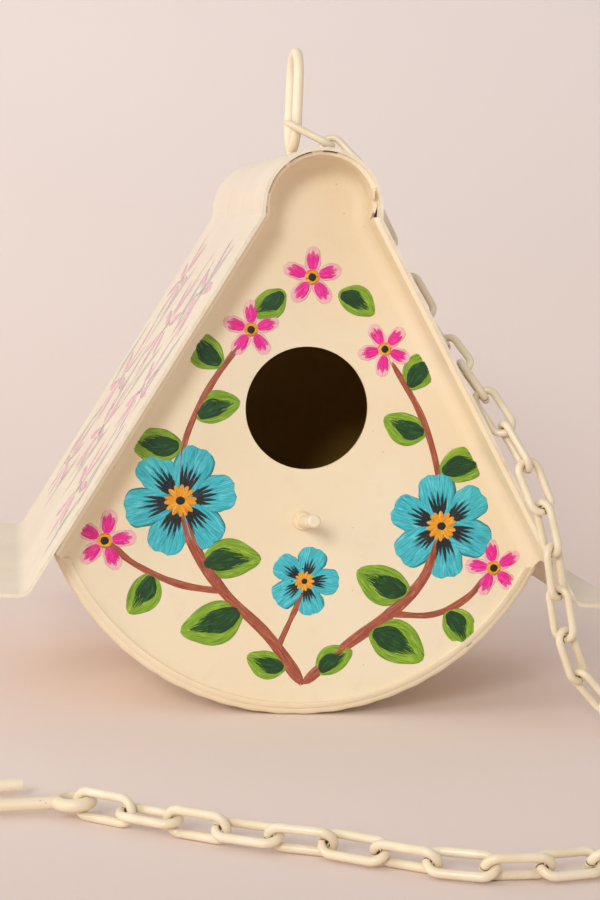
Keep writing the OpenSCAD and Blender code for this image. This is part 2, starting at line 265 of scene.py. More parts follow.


# Where the enamel is worn or missing, and where shade is painted behind the tear, in metres: each
# pair runs from none to all of it
ROOF_WORN = (0.0016, 0.0004)
FLANGE_WORN = (0.0012, 0.0002)
HOLE_WORN = (0.0007, 0.0001)
BOTTOM_WORN = (0.0731, 0.0738)
PERCH_WORN = (-0.0795, -0.0785)
LOOP_WORN_Z = 0.2445
LOOP_WORN_HIGH = (0.006, 0.002)
LOOP_WORN_DEEP = (-0.0095, -0.0115)
PAN_BARE = (0.0004, 0.0008)
PAN_BARE_R = 0.1042
ROOF_BARE = (0.0, 0.0006)
ROOF_BARE_R = 0.1084
ROOF_BARE_ABOVE = (0.15, 0.151)
# Painted shade behind the tear on the roof's inside: across, deep and high, each with a soft start
# and end
TEAR_ACROSS = (0.0195, 0.0200, 0.0232, 0.0238)
TEAR_DEEP = (-0.0928, -0.0924, -0.084, -0.083)
TEAR_HIGH = (0.2018, 0.2026, 0.2074, 0.2082)


def reach(x, z, height):
    """How far a place is from a line that runs fore and aft at a height."""
    up = z - height
    return (x * x + up * up).math("SQRT")


def within(x, z, radius):
    """Inside a circle round the middle of the bottom sheet."""
    return reach(x, z, BOTTOM_R).step(radius, radius - 0.0005)


def roof_edges(paint, x, y, z):
    """The roof's cut edges at its ends and eaves."""
    ends, eaves = ([half - worn for worn in ROOF_WORN] for half in (ROOF_HALF, EAVE_HALF))
    return abs(y).step(*ends).most(abs(x).step(*eaves))


def under_roof(paint, x, y, z):
    """The roof's underside between the pans."""
    between = abs(y).step(*[-PAN_FRONT - deep for deep in ROOF_BARE])
    inside = within(x, z, ROOF_BARE_R).most(z.step(*ROOF_BARE_ABOVE))
    return paint.facing()[2].step(-0.2, -0.3) * between * inside


def shade_behind_tear(paint, x, y, z):
    """Painted shade: near-black on the roof's inside, where the dark interior would show through
    the tear at the foot of the right neck.
    """
    return y.between(*TEAR_DEEP) * z.between(*TEAR_HIGH) * x.between(*TEAR_ACROSS)


def pan_edges(side):
    """Worn edges of the flange and the entrance; side is -1 for the front pan, 1 for the back."""
    def edges(paint, x, y, z):
        flange = (y * side).step(*[-FLANGE_EDGE - worn for worn in FLANGE_WORN])
        if side > 0:
            return flange
        return flange.most(reach(x, z, HOLE.z).step(*[HOLE_R + worn for worn in HOLE_WORN]))
    return edges


def pan_inside(side):
    """The pan's bare inner face."""
    def inside(paint, x, y, z):
        behind = (y * side).step(*[-PAN_FRONT - deep for deep in PAN_BARE])
        return behind * within(x, z, PAN_BARE_R)
    return inside


def bottom_edges(paint, x, y, z):
    """The bottom sheet's cut ends."""
    return abs(y).step(*BOTTOM_WORN)


def bottom_inside(paint, x, y, z):
    """The upper face of the bottom sheet looks towards the middle of its circle."""
    facing = paint.facing()
    outward_part = facing[0] * x + facing[2] * (z - BOTTOM_R)
    return outward_part.step(-0.02, -0.05)


def loop_edges(paint, x, y, z):
    """Where the chain rubs the loop's front stroke."""
    return abs(z - LOOP_WORN_Z).step(*LOOP_WORN_HIGH) * y.step(*LOOP_WORN_DEEP) * 0.8


def perch_edges(paint, x, y, z):
    """Round the perch's foot."""
    return y.step(*PERCH_WORN) * 0.6


def galvanised(name):
    """Zinc with faint spangles, for the hidden fasteners."""
    paint = Paint(name)
    where = paint.place()
    spangle = paint.node("ShaderNodeTexVoronoi", None, {"Vector": where, "Scale": 320.0}, out=1)
    grain = paint.noise(where, 260, 3)
    grey = paint.mix(0.25, tone(170, 168, 162), spangle)
    colour = paint.mix(grain.step(0.55, 0.75) * 0.6, grey, tone(120, 112, 100))
    return paint.finish(colour, grain, 0.0001, 0.4, roughness=0.34 + grain * 0.3, metallic=0.9)


def chain_enamel(name):
    """Dipped cream enamel that is worn to the steel where the links pull on each other."""
    paint = Paint(name)
    where = paint.place()
    rub = paint.attribute("rub")
    joint = paint.attribute("joint")
    runs = paint.noise(where, 120, 3)
    fine = paint.noise(where, 700, 2)
    colour = paint.mix(runs.step(0.4, 0.7) * 0.45, CHAIN_CREAM, CREAM_PALE)
    colour = paint.mix(paint.noise(where, 45, 2).step(0.5, 0.8) * 0.3, colour, CREAM_DEEP)
    worn = (rub + paint.noise(where, 420, 3, 0.7) * 0.9).step(1.2, 1.3)
    bare = worn.most(joint.step(0.45, 0.75))
    around = (rub * 0.9 + runs * 0.4).step(0.7, 1.1) * 0.4
    colour = paint.mix(around, colour, STAIN)
    colour = paint.mix(bare, colour, BARE_STEEL)
    height = runs * 0.8 + fine * 0.2 - bare * 0.5
    return paint.finish(colour, height, 0.0003, 0.35, roughness=0.34 + bare * 0.2,
                        metallic=bare * 0.4, coat_weight=0.15, coat_roughness=0.25)


def brushed_paint(name, dark, middle, light, dry=0.0, streak=1.0):
    """Acrylic with streaks along each stroke; a dry brush lets the ground show through."""
    paint = Paint(name)
    along = paint.attribute("along")
    across = paint.attribute("across")
    seed = paint.attribute("seed")
    bristles = paint.noise(paint.join(along * 1.6, across * 7.0, seed * 37.0), 1.0, 3, 0.6)
    broad = paint.noise(paint.join(along * 2.6, across * 1.6, seed * 91.0), 1.0, 2)
    colour = paint.mix(bristles.step(0.36, 0.52) * streak, dark, middle)
    colour = paint.mix((bristles * 0.6 + broad * 0.5).step(0.56, 0.72) * streak, colour, light)
    sockets = {"roughness": 0.3 + bristles * 0.2, "coat_weight": 0.2, "coat_roughness": 0.2}
    if dry:
        travel = paint.attribute("travel")
        cover = bristles + (1 - travel) * 0.55 - across * across * 0.22
        sockets["alpha"] = cover.step(0.42 + dry * 0.3, 0.5 + dry * 0.3)
    return paint.finish(colour, bristles, 0.0002, 0.5, **sockets)


# ---------------------------------------------------------------- painted strokes

class Strokes:
    """Paint on one face of the house: low, crowned strokes that sink into it at their rims."""

    SECTION = ((-1.0, -0.3), (-0.72, 0.62), (0.0, 1.0), (0.72, 0.62), (1.0, -0.3), (0.0, -0.45))
    CROWN = 0.09 * MM
    LAYER = 0.08 * MM
    FULL_AT = 1.0 * MM
    THINNEST = 0.03
    BRISTLES_ALONG = 100
    BRISTLES_ACROSS = 400

    def __init__(self, name, material, face):
        self.name = name
        self.material = material
        self.face = face
        self.corners = []
        self.faces = []
        self.facts = {"along": [], "across": [], "seed": [], "travel": []}

    def stroke(self, route, wide, layer=0, tips=(0.25, 0.25), wobble=0.05, samples=22):
        """One stroke along a smooth route: its greatest half-width, and the taper at each end."""
        path = smooth(route, samples)
        seed = draw.random()
        phase = draw.random() * 6
        length = sum((b - a).length for a, b in zip(path, path[1:]))
        gone = 0.0
        first = len(self.corners)
        for i, point in enumerate(path):
            ahead = path[min(i + 1, samples - 1)] - path[max(i - 1, 0)]
            side = Vector((-ahead.y, ahead.x)).normalized()
            gone += (point - path[i - 1]).length if i else 0.0
            share = gone / length
            half = wide * taper(share, *tips)
            half *= 1 + wobble * (math.sin(9 * share + phase) + 0.6 * math.sin(23 * share))
            half = max(half, wide * self.THINNEST)
            for across, high in self.SECTION:
                lift = layer * self.LAYER + high * self.CROWN * min(1.0, half / self.FULL_AT)
                spot = point + side * half * across
                self.corners.append(self.face(spot.x, spot.y, lift))
                self.facts["along"].append(gone * self.BRISTLES_ALONG)
                self.facts["across"].append(across * max(half * self.BRISTLES_ACROSS, 0.5))
                self.facts["seed"].append(seed)
                self.facts["travel"].append(share)
        around = len(self.SECTION)
        for i in range(samples - 1):
            for j in range(around):
                a = first + i * around + j
                b = first + i * around + (j + 1) % around
                self.faces.append((a, a + around, b + around, b))
        last = first + (samples - 1) * around
        self.faces.append(tuple(first + j for j in range(around)))
        self.faces.append(tuple(last + j for j in reversed(range(around))))

    def build(self):
        piece = piece_of(self.name, self.corners, self.faces, self.material, self.facts)
        outward(piece)
        on_house(piece)


def piece_of(name, corners, faces, material, facts=None):
    """A smooth piece from its corners and faces; facts are values kept at each corner."""
    mesh = bpy.data.meshes.new(name)
    mesh.from_pydata([tuple(c) for c in corners], [], faces)
    for fact, values in (facts or {}).items():
        mesh.attributes.new(fact, "FLOAT", "POINT").data.foreach_set("value", values)
    mesh.polygons.foreach_set("use_smooth", [True] * len(mesh.polygons))
    mesh.materials.append(material)
    piece = bpy.data.objects.new(name, mesh)
    bpy.context.scene.collection.objects.link(piece)
    return piece


def outward(piece):
    """Turns each face of a closed piece to look outward."""
    work = bmesh.new()
    work.from_mesh(piece.data)
    bmesh.ops.recalc_face_normals(work, faces=work.faces)
    work.to_mesh(piece.data)
    work.free()


def on_house(piece):
    """Fixes a piece to the house."""
    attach(piece, "house")


def tube_faces(rows, around, ring=False):
    """Faces between rows of corners, closed at both ends or joined into a ring."""
    faces = []
    for i in range(rows if ring else rows - 1):
        here, there = i * around, (i + 1) % rows * around
        for k in range(around):
            after = (k + 1) % around
            faces.append((here + k, here + after, there + after, there + k))
    if not ring:
        faces.append(tuple(range(around)))
        faces.append(tuple(reversed(range((rows - 1) * around, rows * around))))
    return faces


def taper(share, start, end):
    """How wide a stroke is, 0 to 1, at a share of its length."""
    width = 1.0
    if start and share < start:
        width = min(width, math.sqrt(max(0.0, 1 - (1 - share / start) ** 2)))
    if end and share > 1 - end:
        width = min(width, math.sqrt(max(0.0, 1 - ((share - 1 + end) / end) ** 2)))
    return width


def smooth(route, samples):
    """Evenly spread points on a smooth curve through the route's points."""
    points = [Vector(p) for p in route]
    if len(points) == 2:
        return [points[0].lerp(points[1], i / (samples - 1)) for i in range(samples)]
    ends = [2 * points[0] - points[1]] + points + [2 * points[-1] - points[-2]]
    curve = []
    for i in range(samples):
        spot = i / (samples - 1) * (len(points) - 1)
        k = min(int(spot), len(points) - 2)
        t = spot - k
        a, b, c, d = ends[k:k + 4]
        curve.append(0.5 * (2 * b + (c - a) * t + (2 * a - 5 * b + 4 * c - d) * t * t
                            + (3 * b - a - 3 * c + d) * t ** 3))
    return curve


def on_pan(across, up, lift):
    """A place on the front of the front pan; across and up in metres."""
    return Vector((across, PAN_FRONT - lift, up))


def on_slope(side):
    """Places on one slope of the roof, by the way down from the neck and the way back."""
    def place(down, back, lift):
        out = NECK_X + down * math.cos(SLOPE) + lift * math.sin(SLOPE)
        up = NECK_Z - down * math.sin(SLOPE) + lift * math.cos(SLOPE)
        return Vector((side * out, back, up))
    return place


def turned(point, angle, origin):
    """A point given along and across a motif, turned and moved to its place."""
    a = math.radians(angle)
    x, y = point
    return (origin[0] + x * math.cos(a) - y * math.sin(a),
            origin[1] + x * math.sin(a) + y * math.cos(a))


def placed(points, angle, origin):
    """A route given in millimetres along and across a motif, turned and moved to its place."""
    return [turned((x * MM, y * MM), angle, origin) for x, y in points]


# Each acrylic's dark, middle and light tone, and how dry the brush is
ACRYLICS = {
    "leaf_green": (tone(96, 136, 20), tone(130, 172, 34), tone(164, 198, 60), 0.0),
    "leaf_dark": (tone(0, 40, 8), tone(2, 66, 14), tone(30, 108, 26), 0.32),
    "stem_brown": (tone(132, 58, 40), tone(172, 86, 60), tone(200, 122, 88), 0.0),
    "teal": (tone(34, 156, 172), tone(64, 194, 208), tone(108, 216, 226), 0.0),
    "night": (tone(8, 12, 16), tone(14, 20, 26), tone(24, 52, 64), 0.42),
    "ink": (tone(6, 8, 10), tone(12, 14, 18), tone(20, 26, 32), 0.0),
    "orange": (tone(218, 126, 4), tone(242, 164, 12), tone(252, 204, 80), 0.0),
    "halo_pink": (tone(236, 170, 178), tone(246, 192, 196), tone(250, 212, 212), 0.0),
    "pink": (tone(212, 6, 126), tone(242, 22, 154), tone(250, 92, 186), 0.22),
}


FADED_ACRYLICS = {
    "faded_pink": (tone(226, 146, 172), tone(238, 172, 192), tone(244, 200, 212)),
    "grey_green": (tone(166, 168, 152), tone(186, 188, 172), tone(208, 208, 194)),
    "mauve": (tone(190, 156, 164), tone(206, 176, 182), tone(222, 200, 202)),
}
FADED_DRY = 0.3


def petal(strokes, origin, angle, start, length, wide, layer, tips=(0.5, 0.45), bend=0.0):
    """One petal-shaped stroke that leaves a flower's middle at an angle, in millimetres."""
    points = [(start, 0), (start + length * 0.5, bend), (start + length, bend * 0.4)]
    strokes.stroke(placed(points, angle, origin), wide * MM, layer, tips)


def dab(strokes, spot, size, layer, angle=0.0):
    """A round touch of the brush."""
    route = placed([(-size, 0), (size, 0)], angle, spot)
    strokes.stroke(route, size * MM, layer, (0.5, 0.5), 0.04, 14)


def leaf(colours, spot, angle, length, wide, bend=2.0):
    """A green leaf in two light halves, with dark strokes drawn out of its base."""
    for half in (-1, 1):
        points = [(0, 0), (length * 0.45, half * wide * 0.42 + bend), (length, bend * 0.5)]
        route = placed(points, angle, spot)
        colours["leaf_green"].stroke(route, wide * 0.36 * MM, 0, (0.45, 0.55), 0.03)
    middle = [(length * 0.2, bend * 0.5), (length * 0.5, bend), (length * 0.8, bend * 0.8)]
    route = placed(middle, angle, spot)
    colours["leaf_green"].stroke(route, wide * 0.4 * MM, 0, (0.5, 0.5), 0.03)
    for side, reach in ((-0.42, 0.72), (0.42, 0.66), (-0.1, 0.86), (0.16, 0.8)):
        points = [(length * 0.06, 0), (length * reach * 0.5, side * wide * 0.62 + bend * 0.8),
                  (length * reach, side * wide * 0.34 + bend * 0.8)]
        route = placed(points, angle, spot)
        colours["leaf_dark"].stroke(route, wide * 0.17 * MM, 1.1, (0.2, 0.5), 0.08)


def blossom(colours, spot, size, angle, petals=6):
    """A teal blossom with dark feathered strokes from its middle and an orange eye."""
    for i in range(petals):
        turn = angle + i * 360 / petals
        wide = size * 2.6 / petals
        for lean in (-7, 7):
            petal(colours["teal"], spot, turn + lean, size * 0.1, size * 0.9, wide * 0.62,
                  i % 2 * 0.5, (0.5, 0.3))
        for lean in (-17, -9, 0, 9, 17):
            reach = size * (0.42 + 0.14 * draw.random() - abs(lean) * 0.006)
            petal(colours["night"], spot, turn + lean, size * 0.22, reach, size * 0.032, 1.7,
                  (0.3, 0.9))
    for i in range(14):
        turn = angle + i * 360 / 14 + draw.uniform(-5, 5)
        petal(colours["orange"], spot, turn, size * 0.02, size * 0.27, size * 0.05, 2.6,
              (0.4, 0.5))
    dab(colours["ink"], spot, size * 0.085, 3.4)
    for i in range(9):
        turn = math.radians(angle + 20 + i * 40)
        reach = size * 0.36 * MM
        dot = (spot[0] + reach * math.cos(turn), spot[1] + reach * math.sin(turn))
        dab(colours["ink"], dot, size * 0.022, 2.8, math.degrees(turn))


def daisy(colours, spot, size, angle, petals=5):
    """A small pink flower with a pale halo, an orange ring and a dark middle."""
    for i in range(petals):
        turn = angle + i * 360 / petals
        petal(colours["halo_pink"], spot, turn, size * 0.12, size * 0.92, size * 0.3, 0,
              (0.5, 0.4))
        for lean in (-11, 0, 11):
            reach = size * (0.66 - abs(lean) * 0.008)
            petal(colours["pink"], spot, turn + lean, size * 0.25, reach, size * 0.095, 1.2,
                  (0.4, 0.5))
    dab(colours["orange"], spot, size * 0.25, 2.2, angle)
    dab(colours["ink"], spot, size * 0.14, 3.2, angle)


def stem(colours, points, wide):
    """A brown stem in three passes of the brush."""
    route = [(x * MM, z * MM) for x, z in points]
    colours["stem_brown"].stroke(route, wide * MM, 0, (0.08, 0.1), 0.1, 40)
    for shift in (-0.35, 0.35):
        beside = [(x + shift * wide * MM, z + shift * wide * 0.6 * MM) for x, z in route]
        colours["stem_brown"].stroke(beside, wide * 0.4 * MM, 0.7, (0.1, 0.2), 0.15, 40)


def front_painting():
    """A spray of teal blossoms, leaves and pink flowers on both sides of the entrance."""
    colours = {}
    for name, recipe in ACRYLICS.items():
        material = brushed_paint(f"{name}_acrylic", *recipe)
        colours[name] = Strokes(f"front_{name}", material, on_pan)
    stem(colours, [(3, 13), (-12, 33), (-31, 51), (-44, 70), (-50, 90)], 2.5)
    stem(colours, [(3, 13), (20, 29), (38, 43), (52, 59), (58, 80)], 2.5)
    stem(colours, [(-31, 51), (-50, 54), (-68, 62), (-79, 71)], 1.5)
    stem(colours, [(38, 43), (56, 43), (70, 50), (80, 62)], 1.5)
    stem(colours, [(-8, 28), (-3, 40), (2, 52)], 1.3)
    stem(colours, [(-50, 90), (-49, 112), (-40, 134), (-27, 154)], 1.4)
    stem(colours, [(58, 80), (55, 104), (47, 126), (34, 147)], 1.4)
    for x, z, angle, length, wide in (
        (-23, 44, 200, 27, 12), (-41, 62, 4, 25, 11), (30, 36, -30, 26, 12), (46, 52, 156, 24, 11),
        (-60, 58, 238, 19, 9), (62, 45, -62, 18, 9), (-50, 110, 170, 22, 10), (-45, 122, 18, 19, 9),
        (56, 102, 10, 22, 10), (50, 118, 158, 19, 9), (-35, 143, 132, 20, 9), (41, 136, 46, 20, 9),
        (9, 18, 30, 17, 8), (-4, 20, 160, 17, 8),
    ):
        leaf(colours, (x * MM, z * MM), angle, length, wide)
    blossom(colours, (-50 * MM, 88 * MM), 23, 12)
    blossom(colours, (58 * MM, 80 * MM), 22, 40)
    blossom(colours, (2 * MM, 56 * MM), 14.5, 0, 5)
    daisy(colours, (-80 * MM, 71 * MM), 12.5, 8)
    daisy(colours, (81 * MM, 63 * MM), 12, 30)
    daisy(colours, (-24 * MM, 158 * MM), 11.5, 20)
    daisy(colours, (31 * MM, 152 * MM), 11, 50)
    daisy(colours, (0, 180 * MM), 12, 18)
    for side in (-1, 1):
        leaf(colours, (side * 11 * MM, 174 * MM), 90 - side * 122, 17, 8)
    for strokes in colours.values():
        strokes.build()


def faded_flower(pots, spot, size, turn):
    """A large loose flower of dry pink strokes, each with a mauve line in it."""
    for i in range(7):
        angle = turn + i * 360 / 7 + draw.uniform(-7, 7)
        bend = draw.uniform(-2, 2)
        petal(pots["faded_pink"], spot, angle, size * 0.24, size * draw.uniform(0.66, 0.84),
              size * 0.115, 0.2, (0.3, 0.5), bend)
        petal(pots["mauve"], spot, angle + 5, size * 0.2, size * 0.6, size * 0.03, 1.1,
              (0.3, 0.8), bend)
    dab(pots["grey_green"], spot, size * 0.11, 1.4)


def roof_painting():
    """Large faded flowers among grey leaves, brushed loosely down each slope."""
    for side, word in ((-1, "left"), (1, "right")):
        face = on_slope(side)
        pots = {}
        for shade, tones in FADED_ACRYLICS.items():
            material = brushed_paint(f"{word}_{shade}_acrylic", *tones, FADED_DRY)
            pots[shade] = Strokes(f"{word}_roof_{shade}", material, face)
        for down, back, angle, length in (
            (14, -70, 20, 44), (22, -30, -24, 40), (52, -84, 8, 46), (64, -34, 26, 40),
            (98, -78, -16, 42), (104, -26, 18, 44), (128, -84, 6, 34), (26, 30, 14, 44),
            (66, 22, -20, 40), (104, 64, 12, 42), (58, 84, -10, 40), (126, 24, 22, 34),
        ):
            spot = (down * MM, back * MM)
            petal(pots["grey_green"], spot, angle, 0, length, 2.6, 0.2, (0.35, 0.6), 3)
            petal(pots["grey_green"], spot, angle + 16, 3, length * 0.7, 1.5, 0.5, (0.35, 0.6), 2)
        for route in (
            [(12, -48), (40, -60), (76, -56), (112, -60), (146, -52)],
            [(18, -12), (52, 0), (88, -6), (140, 6)],
            [(14, 52), (50, 60), (92, 50), (138, 56)],
        ):
            route = [(x * MM, y * MM) for x, y in route]
            pots["mauve"].stroke(route, 1.1 * MM, 0.8, (0.1, 0.3), 0.12, 40)
        for down, back, size in (
            (36, -54, 27), (84, -60, 24), (132, -54, 25), (56, -2, 26), (110, 2, 24), (34, 58, 25),
            (88, 52, 27), (134, 58, 22),
        ):
            faded_flower(pots, (down * MM, back * MM), size, draw.uniform(0, 50))
        for strokes in pots.values():
            strokes.build()


# ---------------------------------------------------------------- enamel in the seams

# In millimetres, seen from the front: the roof's outer line and the pan that nests in it
ROOF_LINE = 1.8
SHEET = 1.2
NECK_TURN = 5.0
NECK_MID = Vector((27.2, 204.857))
NECK_LOW = Vector((NECK_X, NECK_Z)) / MM
RIDGE_R = NECK_LOW.x
RIDGE_MID = Vector((0, 207.3))
BOTTOM_MID = Vector((0, BOTTOM_R / MM))
BOTTOM_ARC = math.radians(66.6)
PAN_CORNER = Vector((100.02, 68.73))
DOWN = Vector((math.cos(SLOPE), -math.sin(SLOPE)))
INWARD = Vector((-math.sin(SLOPE), -math.cos(SLOPE)))

# Each bead's section, by inset from the outer line and by depth
RIM_SECTION = ((8.0, -77.46), (5.4, -77.53), (3.4, -77.55), (2.2, -77.42), (1.2, -76.98),
               (0.5, -76.25), (0.14, -75.3), (0.05, -74.3), (0.05, -73.5), (1.5, -73.3),
               (4.5, -75.4), (8.0, -77.0))
FLANGE_SECTION = ((1.3, -98.7), (1.85, -98.25), (2.5, -97.95), (2.95, -97.6), (2.8, -97.2),
                  (1.6, -96.9), (1.3, -97.2))
BEAD_TIPS = (0.2, 0.75)
BEAD_WAVE = 0.05

# Above the right neck the flange's edge is set back: height, and how far back
SET_BACK = ((206.9, 6.0), (209.5, 5.8), (212.5, 5.6), (214.5, 2.3), (215.9, 0.1), (216.6, 0.0))


def ray(turn):
    """A direction of length 1 at an angle from the right."""
    return Vector((math.cos(turn), math.sin(turn)))


def spread(start, stop, steps):
    """Even values from start to stop, with both."""
    return [start + (stop - start) * i / steps for i in range(steps + 1)]


def round_ridge(turn, back=0.0):
    """A station on the ridge: its place, which way is inward, and how far back it is set."""
    return RIDGE_MID + ray(turn) * RIDGE_R, -ray(turn), back


def bottom_seam():
    """Round the bottom, where the pan's turned rim meets the bottom sheet."""
    turns = [math.radians(-90) + turn for turn in spread(-BOTTOM_ARC, BOTTOM_ARC, 150)]
    return [(BOTTOM_MID + ray(turn) * BOTTOM_MID.y, -ray(turn), 0.0) for turn in turns]


def slope_seam(foot=3.0):
    """Up the right slope and round the outside of the neck, along the flange's front edge."""
    low = (PAN_CORNER - NECK_LOW).dot(DOWN) - foot
    top = (NECK_MID - NECK_LOW).dot(DOWN)
    slope = [(NECK_LOW + DOWN * along, INWARD, 0.0) for along in spread(low, top, 40)]
    turns = [math.radians(angle) for angle in spread(210, 180, 8)[1:]]
    return slope + [(NECK_MID + ray(turn) * (NECK_TURN - ROOF_LINE), ray(turn), 0.0)
                    for turn in turns]


def ridge_seam(start, stop):
    """Round the ridge between two angles from the right."""
    return [round_ridge(math.radians(angle)) for angle in spread(start, stop, 48)]


def set_back_seam():
    """Along the flange's set-back edge above the right neck."""
    stations = []
    for high, back in SET_BACK:
        if high < RIDGE_MID.y:
            stations.append((Vector((RIDGE_R, high)), Vector((-1, 0)), back))
        else:
            stations.append(round_ridge(math.asin((high - RIDGE_MID.y) / RIDGE_R), back))
    return stations


def mirrored(stations):
    """The same seam on the left."""
    return [(Vector((-place.x, place.y)), Vector((-inward.x, inward.y)), back)
            for place, inward, back in stations]


def seam_bead(name, material, stations, section):
    """Enamel that has run into a seam: one section at every station, finer at both ends."""
    middle = sum((Vector(spot) for spot in section), Vector((0, 0))) / len(section)
    corners = []
    for i, (place, inward, back) in enumerate(stations):
        end = min(i, len(stations) - 1 - i)
        size = BEAD_TIPS[end] if end < len(BEAD_TIPS) else 1 + BEAD_WAVE * math.sin(i * 0.9)
        for spot in section:
            inset, deep = middle + (Vector(spot) - middle) * size
            at = place + inward * inset
            corners.append(Vector((at.x, deep + back, at.y)) * MM)
    settle(name, corners, tube_faces(len(stations), len(section)), material)


def settle(name, corners, faces, material):
    """Puts a piece of enamelled sheet on the house, smooth apart from its sharp edges."""
    piece = piece_of(name, corners, faces, material)
    outward(piece)
    piece.data.set_sharp_from_angle(angle=math.radians(55))
    on_house(piece)


# The flange's fold into the rim at each lower corner, in millimetres
FOLD_BEND_R = 6.0
FOLD_PROUD = 0.05
FOLD_ABOVE = 6.0
FOLD_ROWS = 16
FOLD_EASE = (5.0, 10.0)
FOLD_FALL = 0.98
FLANGE_DEPTHS = (-97.5, -95, -92, -89, -86)
PLATE_INSETS = (10.5, 12, 13.5, 15)
PLATE_END = 16.0
RIM_R = 108.15
RIM_BEND = 1.4


def fold_section():
    """The fold's section by inset and depth: the flange, the bend and the plate, on both faces."""
    bend_at = ROOF_LINE + SHEET + FOLD_BEND_R
    bend_y = PAN_FRONT / MM - FOLD_BEND_R
    faces = []
    for shift, proud in ((0.0, FOLD_PROUD), (SHEET, 0.0)):
        flange = ROOF_LINE + SHEET - shift + proud
        bend = FOLD_BEND_R + shift - proud
        face = [(flange, y) for y in (*FLANGE_DEPTHS, bend_y)]
        for turn in [math.radians(angle) for angle in spread(0, 90, 6)[1:]]:
            face.append((bend_at - bend * math.cos(turn), bend_y + bend * math.sin(turn)))
        face += [(inset, bend_y + bend) for inset in PLATE_INSETS]
        face.append((PLATE_END, bend_y + bend + 2 * FOLD_PROUD))
        faces.append(face)
    return faces[0] + faces[1][::-1]


def corner_fold(name, material, side):
    """At a lower corner the flange runs out into the pan's rounded rim."""
    section = fold_section()
    start = (PAN_CORNER - NECK_LOW).dot(DOWN) - FOLD_ABOVE
    corners = []
    for row in spread(0, math.pi / 2, FOLD_ROWS):
        for inset, deep in section:
            foot = NECK_LOW + INWARD * inset
            from_mid = foot - BOTTOM_MID
            along = from_mid.dot(DOWN)
            rim = math.sqrt(along ** 2 - from_mid.length_squared + RIM_R ** 2) - along
            at = foot + DOWN * (start + (rim - start) * math.sin(row))
            beyond = max(0.0, (at - BOTTOM_MID).length - (RIM_R - RIM_BEND))
            fall = RIM_BEND - math.sqrt(max(0.0, RIM_BEND ** 2 - beyond ** 2))
            ease = (inset - FOLD_EASE[0]) / (FOLD_EASE[1] - FOLD_EASE[0])
            deep += fall * min(1.0, max(0.0, ease)) * FOLD_FALL
            corners.append(Vector((side * at.x, deep, at.y)) * MM)
    settle(name, corners, tube_faces(FOLD_ROWS + 1, len(section)), material)


def seams():
    """Sprayed enamel bridges the seams, apart from a gap at the left of the ridge."""
    material = enamel("seam_enamel")
    for word, side in (("right", 1), ("left", -1)):
        corner_fold(f"{word}_corner_fold", material, side)
    seam_bead("rim_seam", material, bottom_seam(), RIM_SECTION)
    for name, stations in (
        ("right_slope_seam", slope_seam()),
        ("left_slope_seam", mirrored(slope_seam())),
        ("right_neck_seam", set_back_seam()),
        ("right_ridge_seam", ridge_seam(22, 78)),
        ("top_ridge_seam", ridge_seam(92, 104)),
        ("left_ridge_seam", ridge_seam(128, 134)),
        ("left_neck_seam", ridge_seam(166, 181)),
    ):
        seam_bead(name, material, stations, FLANGE_SECTION)


# ---------------------------------------------------------------- the chain

# The wire's two bends and two straights, its weld, and how far the links rub
BOW_R = (LINK_WIDE - WIRE) / 2
BOW = math.pi * BOW_R / 2
STRAIGHT = (LINK_LEN - LINK_WIDE) / 2
LINK_STEPS = 76
WIRE_SIDES = 16
WELD_STEP = 0.22 * MM
WELD_WIDE = 0.28 * MM
WELD_DEPTH = 0.16
RUB_REACH = 4.2 * MM
RUB_OUTSIDE = 0.35


def ring_place(mark):
    """Where a mark along the ring lies, which way is outward, and how far the nearest end is."""
    half = 2 * (BOW + STRAIGHT)
    far_end = mark % (2 * half)
    sign = side = 1
    if far_end > half:
        far_end = 2 * half - far_end
        side = -1
    if far_end > half / 2:
        far_end = half - far_end
        sign = -1
    if far_end < BOW:
        turn = far_end / BOW_R
        out = (sign * math.cos(turn), side * math.sin(turn))
        return (sign * STRAIGHT + out[0] * BOW_R, out[1] * BOW_R), out, far_end
    return (sign * (STRAIGHT + BOW - far_end), side * BOW_R), (0.0, side), far_end


def welded_link(name, centre, way, flat, material):
    """One link: a round wire bent into a long ring, with its weld across the far end."""
    wide = flat.cross(way).normalized()
    length = 4 * (STRAIGHT + BOW)
    marks = [i / LINK_STEPS * length for i in range(LINK_STEPS)]
    marks += [shift * WELD_STEP for shift in (-3, -2, -1, 1, 2, 3)]
    marks = sorted(mark % length for mark in marks)
    corners, rubs, joints = [], [], []
    for mark in marks:
        spot, out, gone = ring_place(mark)
        pinch = math.exp(-((min(mark, length - mark) / WELD_WIDE) ** 2))
        radius = WIRE / 2 * (1 - WELD_DEPTH * pinch)
        middle = centre + way * spot[0] + wide * spot[1]
        beside = way * out[0] + wide * out[1]
        for k in range(WIRE_SIDES):
            turn = 2 * math.pi * k / WIRE_SIDES
            corners.append(middle + (beside * math.cos(turn) + flat * math.sin(turn)) * radius)
            inner = RUB_OUTSIDE + (1 - RUB_OUTSIDE) * max(0.0, -math.cos(turn))
            rubs.append(inner * math.exp(-((gone / RUB_REACH) ** 2)))
            joints.append(pinch)
    faces = tube_faces(len(marks), WIRE_SIDES, ring=True)
    return piece_of(name, corners, faces, material, {"rub": rubs, "joint": joints})


def solid_points(solid):
    spots = np.empty(len(solid.data.vertices) * 3, np.float32)
    solid.data.vertices.foreach_get("co", spots)
    return spots.reshape(-1, 3).astype(float)


def lie_of(solid, start):
    """A link's middle, which way it runs from where it starts, and the way its flat side faces."""
    spots = solid_points(solid)
    middle = (spots.min(0) + spots.max(0)) / 2
    axes = np.linalg.svd(spots - middle, full_matrices=False)[2]
    way, flat = Vector(axes[0]), Vector(axes[2])
    if way.dot(Vector(middle) - start) < 0:
        way = -way
    return Vector(middle), way.normalized(), flat.normalized()


